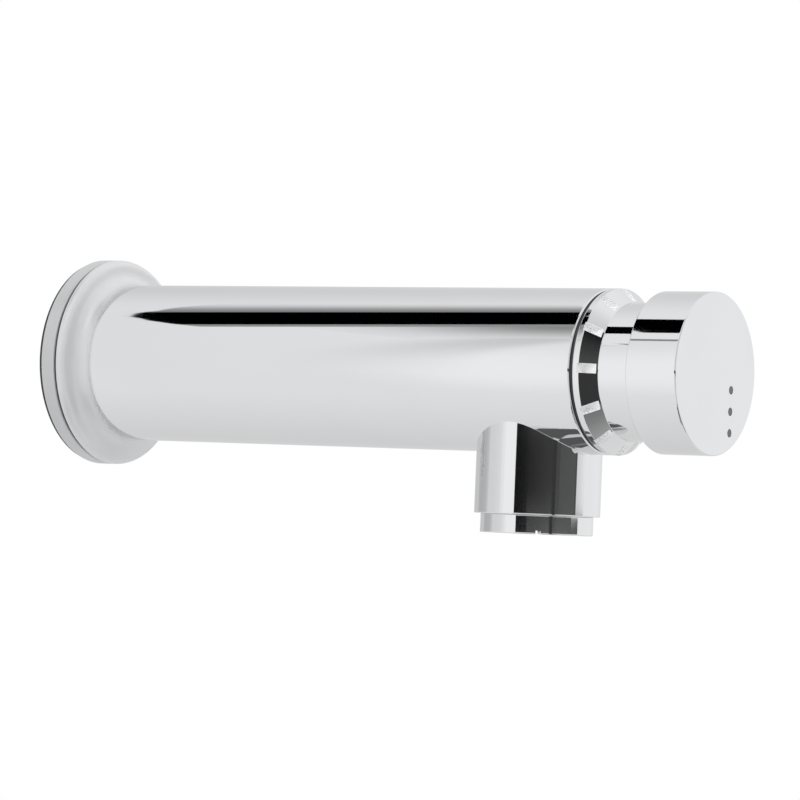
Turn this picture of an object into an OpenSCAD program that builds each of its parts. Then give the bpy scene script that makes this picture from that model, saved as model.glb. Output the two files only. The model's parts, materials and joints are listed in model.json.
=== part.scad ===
// Push timed tap for a wall, with its valve cartridge, timing piston and aerator.
// Millimetres. The wall is the plane y = 0, the tap stands out from it along -Y, and +Z is up.
// The origin is the middle of the inlet on the wall. A station is a distance from the wall.

/* [Body] */
// Outer diameter of the body tube
body_d = 40; // [39:0.5:46]
// Length of the body from its rear face to its front end
body_len = 148; // [140:0.2:220]
// Wall of the tube round the water chamber
body_wall = 3.5; // [2.5:0.1:4]
// How far the rear flange stands out from the tube
flange_reach = 6.4; // [5:0.1:14]
// Radius of the flange's rounded rim, which is also the flange's thickness
flange_round = 2; // [1.5:0.1:4]
// Radius of the fillet between the flange and the tube
flange_fillet = 3.4; // [0.5:0.1:4]

/* [Wall side] */
// Thickness of the gasket against the wall
wall_gasket_t = 0.8; // [0.5:0.1:2]
// Thickness of the wall ring
wall_ring_t = 4; // [3:0.5:10]
// Thickness of the gasket between the wall ring and the flange
flange_gasket_t = 0.8; // [0.5:0.1:2]
// How far the gaskets stay inside the rim of the metal
gasket_inset = 0.45; // [0.2:0.05:1.5]
// Rounding of the wall ring's outer edges
ring_edge = 0.5; // [0.2:0.1:1.5]

/* [Inlet] */
// Outside diameter of the half inch pipe thread
inlet_thread_d = 20.955; // [16:0.005:26.5]
// Length of thread behind the wall
inlet_thread_len = 11; // [8:1:30]
// Length of thread inside the body
inlet_socket_len = 14.4; // [10:0.2:20]
// Waterway through the nipple
waterway_d = 13; // [9:0.5:15]
// Size across the flats of the nipple's hexagon
nipple_hex = 24; // [22:1:27]
// Thickness of the fibre washer in front of the nipple
nipple_washer_t = 2; // [1:0.5:3]
// Width of the strainer's rim outside the waterway
strainer_rim = 1.6; // [1:0.1:2.2]
// Thickness of the strainer disc
strainer_t = 1.2; // [0.8:0.1:2]
// Diameter of each hole in the strainer
strainer_hole_d = 1.5; // [1:0.1:2]
// Distance between the holes in the strainer
strainer_pitch = 2.5; // [2.4:0.1:2.6]

/* [Spout] */
// Outer diameter of the spout
spout_d = 30.5; // [29:0.5:34]
// Distance from the tap's axis down to the end of the spout
spout_drop = 35; // [34:0.5:60]
// Diameter of the water hole from the cartridge into the spout
outlet_d = 10; // [6:0.5:10]
// Diameter of the chamber over the aerator
spout_chamber_d = 21; // [14:0.5:22]
// Height of the chamber over the aerator
spout_chamber_h = 3; // [2:0.5:4]

/* [Aerator] */
// Diameter of the aerator's outside thread
aerator_thread_d = 24; // [22:0.5:24]
// Length of the aerator's thread
aerator_thread_len = 6.5; // [6:0.5:7]
// Step of the collar out from that thread
collar_step = 1.65; // [1:0.05:2.2]
// Height of the collar
collar_h = 4.6; // [4:0.1:8]
// Wall of the aerator ring inside its thread
aerator_wall = 1.7; // [1.5:0.1:2.5]
// Thickness of the lip that holds the pack in the ring
aerator_lip_t = 1.2; // [0.8:0.1:2]
// Reach of that lip in from the bore
aerator_lip_reach = 0.9; // [0.5:0.1:2]
// Number of key notches in the collar
key_count = 4; // [2:1:6]
// Width of a key notch
key_w = 1.2; // [1:0.1:3]
// Depth of a key notch
key_depth = 0.9; // [0.4:0.1:1.5]
// Turn of the first key notch, from the right-hand side of the tap
key_turn = 33; // [0:1:90]
// Thickness of the honeycomb plate
honeycomb_t = 2.2; // [1:0.1:3]
// Distance between the honeycomb's cells
cell_pitch = 2.7; // [2.6:0.05:2.8]
// Size across the corners of a honeycomb cell
cell_d = 2.5; // [1.5:0.1:2.5]
// Thickness of the screen
screen_t = 0.6; // [0.4:0.1:1]
// Diameter of the screen's holes
screen_hole_d = 0.9; // [0.6:0.1:1.2]
// Distance between the screen's holes
screen_pitch = 2.4; // [2.2:0.1:2.6]
// Thickness of the flow regulator
regulator_t = 1.8; // [1:0.1:2.5]
// Number of slots in the flow regulator
regulator_slots = 8; // [4:1:12]
// Width of the flow regulator's slots
regulator_slot_w = 1.6; // [0.8:0.1:2]
// Thickness of the aerator's rubber washer
aerator_washer_t = 1.5; // [1:0.1:2]

/* [Bonnet] */
// Wall of the body round the thread that holds the bonnet
bonnet_socket_wall = 2.9; // [2:0.1:3]
// Depth of the bonnet's socket in the body
bonnet_socket_depth = 10.5; // [9:0.5:11]
// Thickness of the gasket at the front of the body
bonnet_gasket_t = 0.8; // [0.3:0.1:1]
// Height of the bonnet's plain rim
bonnet_rim_h = 1.8; // [1:0.1:4]
// Width of the bonnet's chamfer, down from the rim to the neck
bonnet_chamfer = 3.4; // [2.5:0.1:4]
// Length of neck that shows between the chamfer and the button
neck_show = 9; // [8.5:0.1:14]
// Number of spanner notches in the chamfer
notch_count = 12; // [6:1:16]
// Width of a spanner notch
notch_w = 2.3; // [1.5:0.1:4]
// Height of a notch's floor over the neck
notch_floor = 0.3; // [0.1:0.1:1]
// Wall of the bonnet's neck
bonnet_wall = 3.6; // [3:0.1:4.2]
// Room between the bonnet and the timing bore's tube
bonnet_room = 0.4; // [0.2:0.1:0.8]
// Room round the hub where it travels into the bonnet
hub_room = 3.5; // [1:0.5:4.5]

/* [Button] */
// Length of the button
button_len = 13.4; // [12:0.1:20]
// Thickness of the button's face
button_face_t = 2.5; // [1.5:0.1:4]
// Bevel round the button's face
button_edge = 0.35; // [0.2:0.05:1.5]
// Room between the neck and the inside of the button
button_clear = 0.5; // [0.3:0.1:0.8]
// Wall of the button's skirt
button_wall = 2.3; // [1.5:0.1:4]
// How far the button can be pushed in
button_travel = 7; // [3:0.5:7]
// Diameter of the dots on the face
dot_d = 1.9; // [1:0.1:3]
// Depth of the dots
dot_depth = 0.5; // [0.3:0.1:1]
// Distance between the dots
dot_pitch = 5.1; // [4:0.1:6]
// Place of the middle dot to the right of the button's axis
dot_right = 7.8; // [4:0.1:9]
// Place of the middle dot below the button's axis
dot_below = 8.6; // [4:0.1:9]
// Diameter of the hub's boss
hub_boss_d = 16; // [14:0.5:18]
// Length of the hub's boss
hub_boss_len = 5; // [4.5:0.1:6]
// Thickness of the hub's disc
hub_disc_t = 1.5; // [1:0.1:2]
// Depth of the pocket for the snap ring
hub_pocket_depth = 2.5; // [2:0.1:3]
// Room round the snap ring in its pocket
hub_pocket_room = 0.8; // [0.4:0.1:1.2]

/* [Cartridge] */
// Reach of the sleeve behind the spout's axis
sleeve_rear_reach = 26; // [25:0.5:40]
// Thickness of the sleeve's flange
sleeve_flange_t = 3; // [2:0.5:4]
// Step of the sleeve's flange out from the sleeve
sleeve_flange_step = 1.3; // [1:0.1:1.6]
// Wall of the timing bore's tube
dashpot_wall = 1.6; // [1.2:0.1:2]
// Ledge in the sleeve that the stem guide rests on
guide_ledge = 0.6; // [0.4:0.1:1.5]
// Length of the sleeve's land in front of the collecting groove
front_land = 3.2; // [3.1:0.1:6]
// Thickness of the sleeve's seat wall
seat_wall_t = 4; // [3.5:0.5:6]
// Width of the collecting groove round the outlet ports
collector_w = 11; // [8:0.5:11]
// Depth of the collecting groove
collector_depth = 2.4; // [1:0.1:2.6]
// Number of outlet ports
port_count = 6; // [3:1:8]
// Diameter of an outlet port
port_d = 5; // [3:0.5:6]
// Outer diameter of the seat ring
seat_ring_d = 18; // [16.5:0.5:19]
// Depth of the seat ring in the wall
seat_ring_t = 2; // [1.5:0.1:3]
// Height of the seat's raised lip
seat_lip_h = 0.3; // [0.2:0.1:0.6]
// Width of the seat's raised lip
seat_lip_w = 1.2; // [0.6:0.1:1.6]
// Opening of the valve seat
seat_d = 12; // [10:0.5:12.5]
// Thickness of an O-ring's cord
o_ring_cord = 1.8; // [1.5:0.1:1.8]
// Place of the rear O-ring in front of the sleeve's rear end
rear_o_ring_setback = 7; // [4:0.5:10]
// Thickness of the stem guide
guide_t = 3.5; // [3.3:0.1:4]
// Thickness of the dashpot cap
cap_t = 4.5; // [4.2:0.1:5]
// Thickness of the dashpot cap's flange
cap_flange_t = 2.2; // [1.5:0.1:2.2]

/* [Stem train] */
// Diameter of the stem
stem_d = 6; // [5:0.5:6]
// Step down in diameter at the stem's threaded ends
stem_step = 1; // [0.6:0.1:1.2]
// Diameter of the collar behind the piston
stem_collar_d = 8.4; // [7.5:0.1:9]
// Length of the collar behind the piston
stem_collar_len = 1.2; // [0.8:0.1:2]
// Diameter of the valve's backing disc
poppet_d = 18; // [16:0.5:20]
// Thickness of the valve's backing disc
poppet_t = 2.5; // [1.5:0.1:4]
// Thickness of the valve washer
poppet_washer_t = 2; // [1.5:0.1:4]
// Size across the flats of the valve's nut
poppet_nut_hex = 8; // [7.5:0.5:10]
// Height of the valve's nut
poppet_nut_t = 3.2; // [2.5:0.1:5]
// Thickness of the piston
piston_t = 3; // [2.8:0.1:4]
// Depth of the piston's groove for the cup seal
cup_groove_depth = 1.7; // [1.2:0.1:2]
// Width of the piston's groove for the cup seal
cup_groove_w = 1.6; // [1.2:0.1:1.6]
// Diameter of the bleed jet
jet_d = 2.2; // [1.8:0.1:2.4]
// Hole of the bleed jet
jet_hole_d = 0.5; // [0.3:0.1:0.8]
// Thickness of the clips on the stem
clip_t = 0.7; // [0.5:0.1:0.8]
// Depth of the clip grooves in the stem
clip_groove = 0.5; // [0.3:0.1:0.6]
// Outer diameter of the clips
clip_d = 8.4; // [8:0.1:9]
// Distance from the timing bore to the middle of the return spring's wire
spring_room = 3; // [1:0.1:4.5]
// Wire of the return spring
spring_wire = 1.1; // [0.8:0.1:1.2]
// Turns of the return spring
spring_turns = 5; // [4:0.5:6]

/* [Hidden] */

round_fn = 96;
hole_fn = 24;
arc_steps = 12;
// Radial room between fitted pieces that stay still, and between pieces that slide
fit = 0.1;
slide_fit = 0.05;
// Room at a seat that opens and closes, and at an end stop
seat_gap = 0.05;
stop_gap = 0.3;
// Small bevel on turned edges
edge = 0.4;
// How far a cutting shape runs past the face that it opens
past = 1;

// Stations from the wall outwards
ring_s = wall_gasket_t;
flange_gasket_s = ring_s + wall_ring_t;
body_s = flange_gasket_s + flange_gasket_t;
body_end_s = body_s + body_len;
rim_s = body_end_s + bonnet_gasket_t;
chamfer_s = rim_s + bonnet_rim_h;
neck_s = chamfer_s + bonnet_chamfer;
button_s = neck_s + neck_show;
face_s = button_s + button_len;
hub_front_s = face_s - button_face_t;
hub_disc_s = hub_front_s - hub_disc_t;
hub_s = hub_disc_s - hub_boss_len;
neck_end_s = hub_disc_s - button_travel - stop_gap;
cap_front_s = hub_s - button_travel - stop_gap;
cap_s = cap_front_s - cap_t;
cap_flange_s = cap_front_s - cap_flange_t;
piston_front_s = cap_s - clip_t - stop_gap;
piston_s = piston_front_s - piston_t;

// Stations of the inlet
hex_s = wall_gasket_t / 2;
nipple_end_s = body_s + inlet_socket_len;
strainer_s = nipple_end_s + nipple_washer_t;
chamber_s = strainer_s + strainer_t + 2 * fit + body_wall;
inlet_hole_d = nipple_hex / cos(30) + 4 * stop_gap;

// Stations of the cartridge, from the spout's axis and the bonnet's socket
land_end_s = body_end_s - bonnet_socket_depth;
spout_s = land_end_s - front_land - collector_w / 2;
sleeve_s = spout_s - sleeve_rear_reach;
land_s = sleeve_s + seat_wall_t / 2;
sleeve_flange_end_s = land_end_s + sleeve_flange_t;
guide_s = land_end_s - guide_t;
groove_w = o_ring_cord + 4 * fit;
groove_depth = o_ring_cord + fit;
front_o_ring_s = land_end_s - front_land / 2;
rear_o_ring_s = sleeve_s + rear_o_ring_setback;
lip_s = sleeve_s - seat_lip_h;
poppet_front_s = lip_s - seat_gap;
poppet_s = poppet_front_s - poppet_washer_t;
poppet_nut_s = poppet_s - poppet_t - poppet_nut_t;
stem_end_s = poppet_nut_s - edge;
snap_s = hub_s + hub_boss_len - hub_pocket_depth + hub_disc_t + seat_gap;
stem_front_s = hub_front_s - 2 * stop_gap;

// Diameters that follow from their mates
flange_d = body_d + 2 * flange_reach;
fillet_r = min(flange_fillet, flange_reach - flange_round);
bonnet_thread_d = body_d - 2 * bonnet_socket_wall - 2 * fit;
sleeve_flange_d = bonnet_thread_d - 2 * stop_gap;
sleeve_d = sleeve_flange_d - 2 * sleeve_flange_step;
land_d = sleeve_d + 2 * fit;
neck_d = body_d - 2 * bonnet_chamfer;
button_bore_d = neck_d + 2 * button_clear;
button_d = button_bore_d + 2 * button_wall;
bonnet_bore_d = neck_d - 2 * bonnet_wall;
bonnet_front_bore_d = hub_boss_d + 2 * hub_room;
dashpot_tube_d = bonnet_bore_d - 2 * bonnet_room;
dashpot_d = dashpot_tube_d - 2 * dashpot_wall;
chamber_d = dashpot_d - 2 * guide_ledge;
piston_d = dashpot_d - 2 * fit;
cup_floor_d = piston_d - 2 * cup_groove_depth;
jet_reach = (stem_d + cup_floor_d) / 4;
spring_d = dashpot_d - 2 * spring_room;
stem_end_d = stem_d - stem_step;
hub_pocket_d = clip_d + 2 * hub_pocket_room;
strainer_d = waterway_d + 2 * strainer_rim;
collar_d = aerator_thread_d + 2 * collar_step;
aerator_bore_d = aerator_thread_d - 2 * aerator_wall;

// Heights of the aerator, from the end of the spout upwards
aerator_top_z = -spout_drop + aerator_thread_len;
aerator_seat_z = aerator_top_z + aerator_washer_t;
collar_z = -spout_drop - collar_h;
pack_z = collar_z + aerator_lip_t;
regulator_z = aerator_top_z - regulator_t;
screen_z = regulator_z - screen_t;
pack_d = aerator_bore_d - 2 * fit;
pack_hole_d = pack_d - 4 * aerator_lip_reach;

chrome = "gainsboro";
brass = "darkkhaki";
steel = "silver";
rubber = "dimgray";
plastic = "whitesmoke";
fibre = "peru";

// Points of an arc, as [radius, station] or any other pair
function arc(cx, cy, r, from, to) =
    [for (i = [0:arc_steps]) let (a = from + (to - from) * i / arc_steps) [cx + r * cos(a), cy + r * sin(a)]];

// Places of a honeycomb pattern that lie within a circle
function honeycomb(pitch, within_d) =
    let (reach = ceil(within_d / pitch))
    [
        for (i = [-reach:reach], j = [-reach:reach])
        let (x = pitch * (i + j / 2), y = pitch * j * sin(60))
        if (norm([x, y]) <= within_d / 2) [x, y]
    ];

// A profile drawn as [radius, station], turned round the tap's axis
module turned() {
    rotate([90, 0, 0]) rotate_extrude($fn = round_fn) children();
}

// A plain ring round the tap's axis between two stations
module ring(outer_d, inner_d, from, to) {
    turned() translate([inner_d / 2, from]) square([(outer_d - inner_d) / 2, to - from]);
}

// A plain bar on the tap's axis between two stations
module bar(d, from, to) {
    rotate([90, 0, 0]) translate([0, 0, from]) cylinder(d = d, h = to - from, $fn = round_fn);
}

// A hexagon bar on the tap's axis, measured across its flats
module hex_bar(flats, from, to) {
    rotate([90, 0, 0]) translate([0, 0, from]) cylinder(d = flats / cos(30), h = to - from, $fn = 6);
}

// An O-ring round the tap's axis, by the middle of its cord
module o_ring(middle_d, station) {
    turned() translate([middle_d / 2, station]) circle(d = o_ring_cord, $fn = hole_fn);
}

// A profile drawn as [radius, height], turned round the spout's axis
module turned_spout() {
    translate([0, -spout_s, 0]) rotate_extrude($fn = round_fn) children();
}

// A round plate on the spout's axis, from a height upwards
module spout_plate(d, z, t) {
    translate([0, -spout_s, z]) cylinder(d = d, h = t, $fn = round_fn);
}

// Rubber sheet between the wall ring and the wall
module wall_gasket() {
    color(rubber) ring(flange_d - 2 * gasket_inset, inlet_hole_d, 0, wall_gasket_t);
}

// Polished ring that stands off the wall
module wall_ring() {
    outer = flange_d / 2;
    inner = inlet_hole_d / 2;
    color(chrome) turned() polygon(concat(
        [[inner, ring_s], [outer - ring_edge, ring_s]],
        arc(outer - ring_edge, ring_s + ring_edge, ring_edge, -90, 0),
        arc(outer - ring_edge, flange_gasket_s - ring_edge, ring_edge, 0, 90),
        [[inner, flange_gasket_s]]
    ));
}

// Rubber sheet between the wall ring and the flange
module flange_gasket() {
    color(rubber) ring(flange_d - 2 * gasket_inset, inlet_hole_d, flange_gasket_s, body_s);
}

// Outside of the body: flange with a rounded rim, fillet and straight tube
module body_outside() {
    rim = flange_d / 2 - flange_round;
    tube = body_d / 2;
    front = body_s + flange_round;
    turned() polygon(concat(
        [[0, body_s]],
        arc(rim, body_s, flange_round, 0, 90),
        arc(tube + fillet_r, front + fillet_r, fillet_r, -90, -180),
        [[tube, body_end_s - edge], [tube - edge, body_end_s], [0, body_end_s]]
    ));
}

// Inside of the body: nipple socket, strainer seat, water chamber, cartridge land, bonnet socket
module body_inside() {
    socket = inlet_thread_d / 2 + fit;
    strainer = strainer_d / 2 + fit;
    chamber = body_d / 2 - body_wall;
    strainer_end = strainer_s + strainer_t + fit;
    turned() polygon([
        [0, body_s - past], [socket, body_s - past], [socket, strainer_s], [strainer, strainer_s],
        [strainer, strainer_end], [waterway_d / 2, strainer_end], [waterway_d / 2, chamber_s],
        [chamber, chamber_s], [chamber, land_s], [land_d / 2, land_s], [land_d / 2, land_end_s],
        [bonnet_thread_d / 2 + fit, land_end_s], [bonnet_thread_d / 2 + fit, body_end_s + past],
        [0, body_end_s + past]
    ]);
}

// Inside of the spout: water hole, chamber and aerator thread
module spout_inside() {
    chamber_z = aerator_seat_z + spout_chamber_h;
    thread = aerator_thread_d / 2 + fit;
    turned_spout() polygon([
        [0, -land_d / 4], [outlet_d / 2, -land_d / 4], [outlet_d / 2, chamber_z],
        [spout_chamber_d / 2, chamber_z], [spout_chamber_d / 2, aerator_seat_z], [thread, aerator_seat_z],
        [thread, -spout_drop - past], [0, -spout_drop - past]
    ]);
}

// Chromed body with the spout cast on
module body() {
    spout = spout_d / 2;
    color(chrome) difference() {
        union() {
            body_outside();
            turned_spout() polygon([
                [0, -land_d / 4], [spout, -land_d / 4], [spout, -spout_drop + edge],
                [spout - edge, -spout_drop], [0, -spout_drop]
            ]);
        }
        body_inside();
        spout_inside();
    }
}

// Threaded tail with a hexagon, which holds the tap to the wall
module inlet_nipple() {
    color(brass) difference() {
        union() {
            bar(inlet_thread_d, -inlet_thread_len, nipple_end_s);
            hex_bar(nipple_hex, hex_s, body_s - stop_gap);
        }
        bar(waterway_d, -inlet_thread_len - past, nipple_end_s + past);
    }
}

// Fibre washer at the end of the nipple
module nipple_washer() {
    color(fibre) ring(inlet_thread_d, waterway_d + 2 * stop_gap, nipple_end_s, strainer_s);
}

// Perforated disc in front of the fibre washer
module inlet_strainer() {
    color(steel) difference() {
        bar(strainer_d, strainer_s, strainer_s + strainer_t);
        for (p = honeycomb(strainer_pitch, waterway_d - strainer_hole_d)) {
            translate([p[0], 0, p[1]]) bar(strainer_hole_d, strainer_s - past, strainer_s + strainer_t + past);
        }
    }
}

// Outside of the cartridge sleeve, with its O-ring grooves, collecting groove, flange and timing tube
module sleeve_outside() {
    outer = sleeve_d / 2;
    floor_r = outer - groove_depth;
    collector_r = outer - collector_depth;
    rear = rear_o_ring_s;
    front = front_o_ring_s;
    half = groove_w / 2;
    turned() polygon([
        [0, sleeve_s], [outer - edge, sleeve_s], [outer, sleeve_s + edge],
        [outer, rear - half], [floor_r, rear - half], [floor_r, rear + half], [outer, rear + half],
        [outer, spout_s - collector_w / 2], [collector_r, spout_s - collector_w / 2],
        [collector_r, spout_s + collector_w / 2], [outer, spout_s + collector_w / 2],
        [outer, front - half], [floor_r, front - half], [floor_r, front + half], [outer, front + half],
        [outer, land_end_s], [sleeve_flange_d / 2, land_end_s],
        [sleeve_flange_d / 2, sleeve_flange_end_s], [dashpot_tube_d / 2, sleeve_flange_end_s],
        [dashpot_tube_d / 2, cap_flange_s], [0, cap_flange_s]
    ]);
}

// Inside of the cartridge sleeve: seat pocket, seat hole, outlet chamber and timing bore
module sleeve_inside() {
    seat_pocket = seat_ring_d / 2 + fit;
    turned() polygon([
        [0, sleeve_s - past], [seat_pocket, sleeve_s - past], [seat_pocket, sleeve_s + seat_ring_t],
        [seat_d / 2, sleeve_s + seat_ring_t], [seat_d / 2, sleeve_s + seat_wall_t],
        [chamber_d / 2, sleeve_s + seat_wall_t], [chamber_d / 2, guide_s], [dashpot_d / 2, guide_s],
        [dashpot_d / 2, cap_flange_s + past], [0, cap_flange_s + past]
    ]);
}

// Brass sleeve of the cartridge
module cartridge_sleeve() {
    color(brass) difference() {
        sleeve_outside();
        sleeve_inside();
        for (k = [0:port_count - 1]) {
            translate([0, -spout_s, 0]) rotate([0, 360 * k / port_count, 0]) translate([0, 0, chamber_d / 4])
                cylinder(d = port_d, h = sleeve_d / 2, $fn = hole_fn);
        }
    }
}

// Raised seat of the valve
module seat_ring() {
    lip = seat_d / 2 + seat_lip_w;
    color(steel) turned() polygon([
        [seat_d / 2, lip_s], [lip, lip_s], [lip, sleeve_s], [seat_ring_d / 2, sleeve_s],
        [seat_ring_d / 2, sleeve_s + seat_ring_t], [seat_d / 2, sleeve_s + seat_ring_t]
    ]);
}

// Seals on both sides of the outlet ports
module rear_o_ring() {
    color(rubber) o_ring(land_d - 2 * fit - o_ring_cord, rear_o_ring_s);
}

module front_o_ring() {
    color(rubber) o_ring(land_d - 2 * fit - o_ring_cord, front_o_ring_s);
}

// Disc with a bored seal groove, which guides the stem
module stem_bearing(flange_outer_d, spigot_d, from, flange_from, to) {
    groove_s = (from + to) / 2;
    bore = stem_d / 2 + slide_fit;
    floor_r = bore + groove_depth + fit;
    turned() polygon([
        [bore, from], [spigot_d / 2, from], [spigot_d / 2, flange_from], [flange_outer_d / 2, flange_from],
        [flange_outer_d / 2, to], [bore, to], [bore, groove_s + groove_w / 2],
        [floor_r, groove_s + groove_w / 2], [floor_r, groove_s - groove_w / 2], [bore, groove_s - groove_w / 2]
    ]);
}

// Disc that closes the timing bore behind the piston
module stem_guide() {
    guide_d = dashpot_d - 2 * fit;
    color(plastic) stem_bearing(guide_d, guide_d, guide_s, (guide_s + land_end_s) / 2, land_end_s);
}

module stem_guide_o_ring() {
    color(rubber) o_ring(stem_d + 2 * slide_fit + o_ring_cord, (guide_s + land_end_s) / 2);
}

// Screwed cap that closes the timing bore in front of the piston
module dashpot_cap() {
    color(brass) stem_bearing(dashpot_tube_d, dashpot_d - 2 * fit, cap_s, cap_flange_s, cap_front_s);
}

module gland_o_ring() {
    color(rubber) o_ring(stem_d + 2 * slide_fit + o_ring_cord, (cap_s + cap_front_s) / 2);
}

// Thin gasket at the front end of the body
module bonnet_gasket() {
    color(rubber) ring(body_d - 2 * gasket_inset, bonnet_thread_d + 2 * fit, body_end_s, rim_s);
}

// Screwed-in front ring with its notched chamfer and the neck that carries the button's skirt
module bonnet() {
    rim = body_d / 2;
    neck = neck_d / 2;
    bore_end = cap_front_s + stop_gap;
    color(chrome) difference() {
        turned() polygon([
            [bonnet_bore_d / 2, sleeve_flange_end_s], [bonnet_thread_d / 2, sleeve_flange_end_s],
            [bonnet_thread_d / 2, rim_s], [rim - edge, rim_s], [rim, rim_s + edge],
            [rim, chamfer_s], [neck, neck_s], [neck, neck_end_s - edge], [neck - edge, neck_end_s],
            [bonnet_front_bore_d / 2, neck_end_s], [bonnet_front_bore_d / 2, bore_end], [bonnet_bore_d / 2, bore_end]
        ]);
        for (k = [0:notch_count - 1]) {
            rotate([0, 360 * k / notch_count, 0]) translate([neck + notch_floor, -neck_s - past, -notch_w / 2])
                cube([rim, neck_s - chamfer_s + edge + past, notch_w]);
        }
    }
}

// Rubber washer over the aerator
module aerator_washer() {
    color(rubber) turned_spout() translate([pack_hole_d / 2, aerator_top_z])
        square([aerator_thread_d / 2 - pack_hole_d / 2, aerator_washer_t]);
}

// Plate with slots that limits the flow
module aerator_regulator() {
    color("seagreen") difference() {
        spout_plate(pack_d, regulator_z, regulator_t);
        for (k = [0:regulator_slots - 1]) {
            translate([0, -spout_s, regulator_z - past]) rotate(360 * k / regulator_slots)
                translate([pack_hole_d / 4, -regulator_slot_w / 2, 0])
                cube([pack_hole_d / 5, regulator_slot_w, regulator_t + 2 * past]);
        }
    }
}

// Fine screen under the regulator
module aerator_screen() {
    color(steel) difference() {
        spout_plate(pack_d, screen_z, screen_t);
        for (p = honeycomb(screen_pitch, pack_hole_d)) {
            translate([p[0], p[1] - spout_s, screen_z - past])
                cylinder(d = screen_hole_d, h = screen_t + 2 * past, $fn = hole_fn);
        }
    }
}

// Cup with a honeycomb floor, which shapes the stream
module aerator_insert() {
    color(plastic) difference() {
        spout_plate(pack_d, pack_z, screen_z - pack_z);
        spout_plate(pack_d - 2 * aerator_lip_reach, pack_z + honeycomb_t, screen_z - pack_z);
        for (p = honeycomb(cell_pitch, pack_hole_d - cell_d / 2)) {
            translate([p[0], p[1] - spout_s, pack_z - past]) rotate(30)
                cylinder(d = cell_d, h = honeycomb_t + 2 * past, $fn = 6);
        }
    }
}

// Chromed ring that screws into the spout, with key notches in its lower edge
module aerator_ring() {
    collar = collar_d / 2;
    bore = aerator_bore_d / 2;
    lip = bore - aerator_lip_reach;
    color(chrome) difference() {
        turned_spout() polygon([
            [bore, aerator_top_z], [aerator_thread_d / 2, aerator_top_z], [aerator_thread_d / 2, -spout_drop],
            [collar, -spout_drop], [collar, collar_z + edge], [collar - edge, collar_z],
            [lip, collar_z], [lip, pack_z], [bore, pack_z]
        ]);
        for (k = [0:key_count - 1]) {
            translate([0, -spout_s, collar_z - past]) rotate(key_turn + 360 * k / key_count)
                translate([lip - past, -key_w / 2, 0]) cube([collar, key_w, past + key_depth]);
        }
    }
}

// Points of the return spring: one ring of wire corners at each step along the helix
spring_sides = 6;
spring_rings = ceil(12 * spring_turns);
spring_from = land_end_s + spring_wire / 2 + seat_gap;
spring_to = piston_s - spring_wire / 2 - seat_gap;
function spring_middle(t) =
    let (a = 360 * spring_turns * t) [spring_d / 2 * cos(a), spring_d / 2 * sin(a), spring_from + (spring_to - spring_from) * t];
function spring_corner(t, side) =
    let (a = 360 * spring_turns * t, b = 360 * side / spring_sides, r = spring_d / 2 + spring_wire / 2 * cos(b))
    [r * cos(a), r * sin(a), spring_middle(t)[2] + spring_wire / 2 * sin(b)];
spring_points = [for (i = [0:spring_rings], k = [0:spring_sides - 1]) spring_corner(i / spring_rings, k)];
spring_skin = [
    for (i = [0:spring_rings - 1], k = [0:spring_sides - 1])
    let (a = i * spring_sides + k, b = i * spring_sides + (k + 1) % spring_sides, up = spring_sides)
    each [[a, a + up, b], [b, a + up, b + up]]
];
spring_last = spring_rings * spring_sides;
spring_ends = [
    for (k = [1:spring_sides - 2])
    each [[0, k, k + 1], [spring_last, spring_last + k + 1, spring_last + k]]
];
spring_gap = (spring_to - spring_from) / spring_turns - spring_wire;
echo(spring_gap_between_turns = spring_gap);

// Spring between the stem guide and the piston
module return_spring() {
    color(steel) rotate([90, 0, 0]) polyhedron(points = spring_points, faces = concat(spring_skin, spring_ends));
}

// Rod from the valve to the button, with clip grooves and a collar behind the piston
module stem() {
    body_r = stem_d / 2;
    thin = stem_end_d / 2;
    clip_r = body_r - clip_groove;
    snap_r = thin - clip_groove;
    collar = stem_collar_d / 2;
    color(steel) turned() polygon([
        [0, stem_end_s], [thin, stem_end_s], [thin, poppet_front_s], [body_r, poppet_front_s],
        [body_r, piston_s - stem_collar_len], [collar, piston_s - stem_collar_len], [collar, piston_s],
        [body_r, piston_s], [body_r, piston_front_s], [clip_r, piston_front_s],
        [clip_r, piston_front_s + clip_t + seat_gap], [body_r, piston_front_s + clip_t + seat_gap],
        [body_r, hub_s - seat_gap], [thin, hub_s - seat_gap], [thin, snap_s], [snap_r, snap_s],
        [snap_r, snap_s + clip_t + seat_gap], [thin, snap_s + clip_t + seat_gap], [thin, stem_front_s],
        [0, stem_front_s]
    ]);
}

// Backing disc of the valve washer, with a rim round the washer
module poppet() {
    rim = 2 * fit + edge;
    color(brass) difference() {
        bar(poppet_d, poppet_s - poppet_t, poppet_front_s - poppet_washer_t / 2);
        bar(stem_end_d + 2 * slide_fit, poppet_s - poppet_t - past, poppet_front_s);
        bar(poppet_d - 2 * rim, poppet_s, poppet_front_s);
    }
}

// Rubber washer that closes on the seat
module poppet_washer() {
    color(rubber) ring(poppet_d - 2 * edge - 6 * fit, stem_end_d + 2 * slide_fit, poppet_s, poppet_front_s);
}

// Nut behind the valve
module poppet_nut() {
    color(steel) difference() {
        hex_bar(poppet_nut_hex, poppet_nut_s, poppet_nut_s + poppet_nut_t);
        bar(stem_end_d + 2 * slide_fit, poppet_nut_s - past, poppet_nut_s + poppet_nut_t + past);
    }
}

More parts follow.
